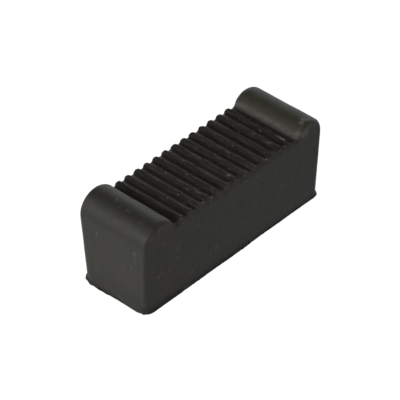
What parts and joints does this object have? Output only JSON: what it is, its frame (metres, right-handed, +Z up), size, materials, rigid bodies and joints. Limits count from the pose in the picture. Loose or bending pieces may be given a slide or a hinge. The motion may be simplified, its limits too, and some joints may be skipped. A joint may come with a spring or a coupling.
{
  "type": "jack stand rubber pad",
  "caption": "Moulded black rubber pad that slips over a jack stand's saddle, with a ribbed trough between two raised, rounded end lips and a pocket underneath.",
  "frame": {"origin": "middle of the footprint, on the plane that the pad stands on", "axes": "+X along the pad from lip to lip, +Y across it, +Z up, out of the ribbed trough"},
  "size_m": [0.122, 0.042, 0.048],
  "materials": {
    "moulded_rubber": "matte compression-moulded black rubber with a fine skin, faint bloom and small pale scuffs"
  },
  "bodies": {
    "root": {"rubber_pad": "moulded_rubber"}
  },
  "joints": []
}
